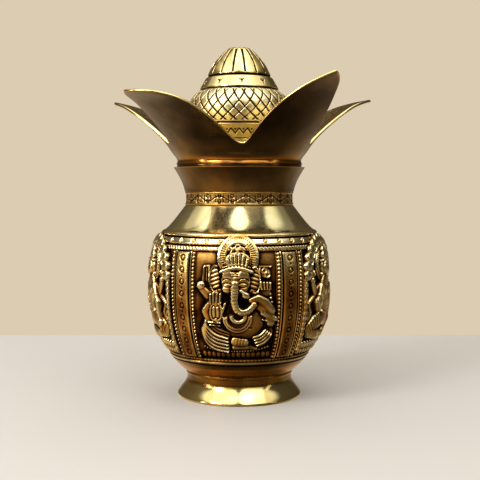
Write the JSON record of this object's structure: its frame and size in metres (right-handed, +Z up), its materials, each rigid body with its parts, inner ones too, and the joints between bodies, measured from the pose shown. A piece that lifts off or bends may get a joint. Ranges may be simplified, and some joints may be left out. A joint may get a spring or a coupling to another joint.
{
  "type": "kalash pot with leaf lid",
  "caption": "Footed brass ritual water pot with cast relief panels, a flared mouth, and a lift-off lid of spread mango leaves that carries a loose engraved coconut.",
  "frame": {"origin": "centre of the foot's resting plane, on the pot's axis", "axes": "+Z up along the pot's axis, the front relief panel faces -Y, +X to the right when seen from the front"},
  "size_m": [0.1344, 0.1211, 0.1719],
  "materials": {
    "aged_brass": "cast brass with a dark patina in the recesses",
    "cast_brass": "turned brass, softly polished",
    "polished_brass": "polished brass"
  },
  "bodies": {
    "pot": {"foot_ring": "cast_brass", "vessel_floor": "aged_brass", "belly_shell": "aged_brass", "shoulder_cone": "polished_brass", "neck_collar": "aged_brass", "mouth_flare": "cast_brass"},
    "lid": {"lid_spigot": "cast_brass", "lid_cup": "cast_brass", "coconut_seat": "cast_brass", "leaf_crown": "aged_brass"},
    "coconut": {"coconut_base": "polished_brass", "coconut_body": "polished_brass", "coconut_band": "polished_brass", "coconut_dome": "polished_brass"}
  },
  "joints": [
    {"name": "lid_lift", "type": "slide", "parent": "pot", "child": "lid", "axis": [0, 0, 1], "range_m": [0, 0.04]},
    {"name": "coconut_lift", "type": "slide", "parent": "lid", "child": "coconut", "axis": [0, 0, 1], "range_m": [0, 0.06]}
  ]
}
